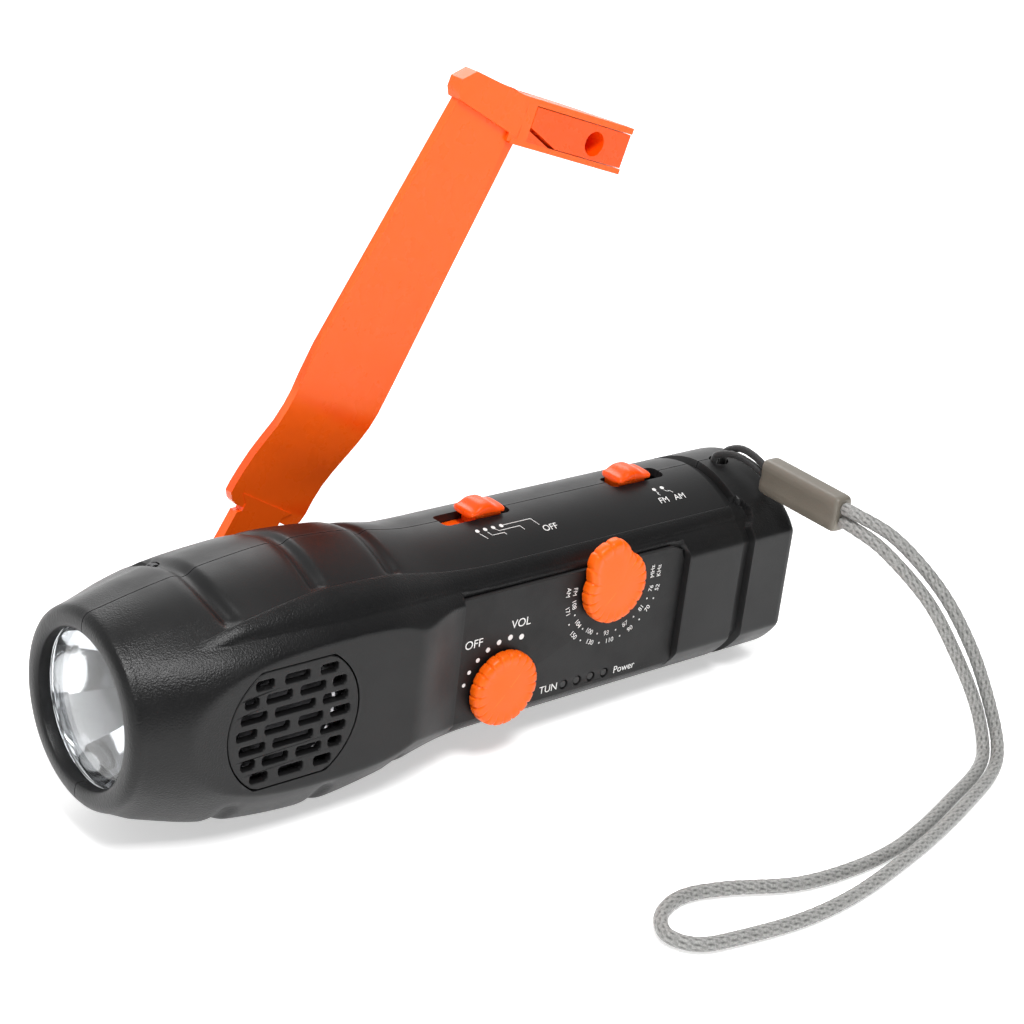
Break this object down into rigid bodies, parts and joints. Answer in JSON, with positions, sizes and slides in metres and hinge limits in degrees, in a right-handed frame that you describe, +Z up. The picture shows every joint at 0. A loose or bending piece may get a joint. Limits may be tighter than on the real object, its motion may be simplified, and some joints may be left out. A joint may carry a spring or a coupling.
{
  "type": "emergency radio",
  "caption": "Hand-crank emergency radio torch: black body with round lamp, slotted speaker grille, tuning and volume knobs, slide switches, orange winding crank and wrist lanyard.",
  "frame": {"origin": "middle of the flat on the underside of the head, on the seam, where the radio stands", "axes": "+X along the body from the lamp towards the tail, +Y to the crank's side, +Z up; it lies on its head and tail, so its own axis dips 1.76 degrees towards the tail"},
  "size_m": [0.2052, 0.1441, 0.1507],
  "materials": {
    "black_plastic": "satin",
    "orange_plastic": "gloss",
    "clear_lens": "gloss",
    "seal_rubber": "matte",
    "reflector_chrome": "mirror",
    "steel": "satin",
    "brass": "satin",
    "circuit_board": "satin",
    "white_plastic": "satin",
    "paper_cone": "matte",
    "ferrite": "matte",
    "cell_wrap": "satin",
    "cord_braid": "matte",
    "sleeve_plastic": "satin"
  },
  "bodies": {
    "radio": {"housing_control_side": "black_plastic", "housing_crank_side": "black_plastic", "control_panel": "black_plastic", "speaker_grille": "black_plastic", "lens": "clear_lens", "lens_seal": "seal_rubber", "reflector": "reflector_chrome", "led_board": "circuit_board", "led_emitter": "white_plastic", "speaker_basket": "steel", "speaker_cone": "paper_cone", "main_board": "circuit_board", "tuning_capacitor": "white_plastic", "volume_control": "steel", "ferrite_rod": "ferrite", "ferrite_coil": "brass", "cell_1": "cell_wrap", "cell_2": "cell_wrap", "cell_3": "cell_wrap", "dynamo": "steel", "gear_plate": "steel", "idler_axle": "steel", "crank_bush": "brass", "mode_switch_body": "steel", "band_switch_body": "steel", "indicator_1": "black_plastic", "indicator_2": "black_plastic", "indicator_3": "black_plastic", "indicator_4": "black_plastic", "housing_screw_1": "steel", "housing_screw_2": "steel", "housing_screw_3": "steel", "housing_screw_4": "steel", "lanyard_bar": "steel", "lanyard_loop": "seal_rubber", "lanyard_clamp": "sleeve_plastic", "lanyard_cord": "cord_braid", "charge_socket": "black_plastic"},
    "crank": {"crank_arm": "orange_plastic", "crank_shaft": "steel", "crank_screw": "steel", "hub_gear": "white_plastic", "grip_pin": "steel"},
    "grip": {"crank_grip": "orange_plastic"},
    "idler": {"idler_gear": "white_plastic"},
    "rotor": {"dynamo_pinion": "brass", "dynamo_shaft": "steel"},
    "volume": {"volume_knob": "orange_plastic", "volume_shaft": "steel"},
    "tuning": {"tuning_knob": "orange_plastic", "tuning_shaft": "steel"},
    "mode_slider": {"mode_switch_knob": "orange_plastic"},
    "band_slider": {"band_switch_knob": "orange_plastic"}
  },
  "joints": [
    {"name": "crank_turn", "type": "hinge", "parent": "radio", "child": "crank", "pos_m": [0.00089, 0.028, 0.02889], "axis": [0, 1, 0], "continuous": true},
    {"name": "grip_fold", "type": "hinge", "parent": "crank", "child": "grip", "pos_m": [0.08315, 0.029, 0.13679], "axis": [0.3199, 0, 0.9475], "range_deg": [0, 90]},
    {"name": "idler_turn", "type": "hinge", "parent": "radio", "child": "idler", "pos_m": [0.01888, 0.012, 0.02834], "axis": [0, 1, 0], "continuous": true},
    {"name": "rotor_turn", "type": "hinge", "parent": "radio", "child": "rotor", "pos_m": [0.03012, 0.008, 0.028], "axis": [0, 1, 0], "continuous": true},
    {"name": "volume_turn", "type": "hinge", "parent": "radio", "child": "volume", "pos_m": [0.04911, -0.0213, 0.01911], "axis": [0, 1, 0], "range_deg": [0, 300]},
    {"name": "tuning_turn", "type": "hinge", "parent": "radio", "child": "tuning", "pos_m": [0.08078, -0.0213, 0.03735], "axis": [0, 1, 0], "range_deg": [-150, 150]},
    {"name": "mode_slide", "type": "slide", "parent": "radio", "child": "mode_slider", "axis": [0.9995, 0, -0.0306], "range_m": [-0.0075, 0]},
    {"name": "band_slide", "type": "slide", "parent": "radio", "child": "band_slider", "axis": [0.9995, 0, -0.0306], "range_m": [0, 0.0035]}
  ],
  "couplings": [
    {"joint": "idler_turn", "follows": "crank_turn", "ratio": -4},
    {"joint": "rotor_turn", "follows": "crank_turn", "ratio": 16}
  ]
}
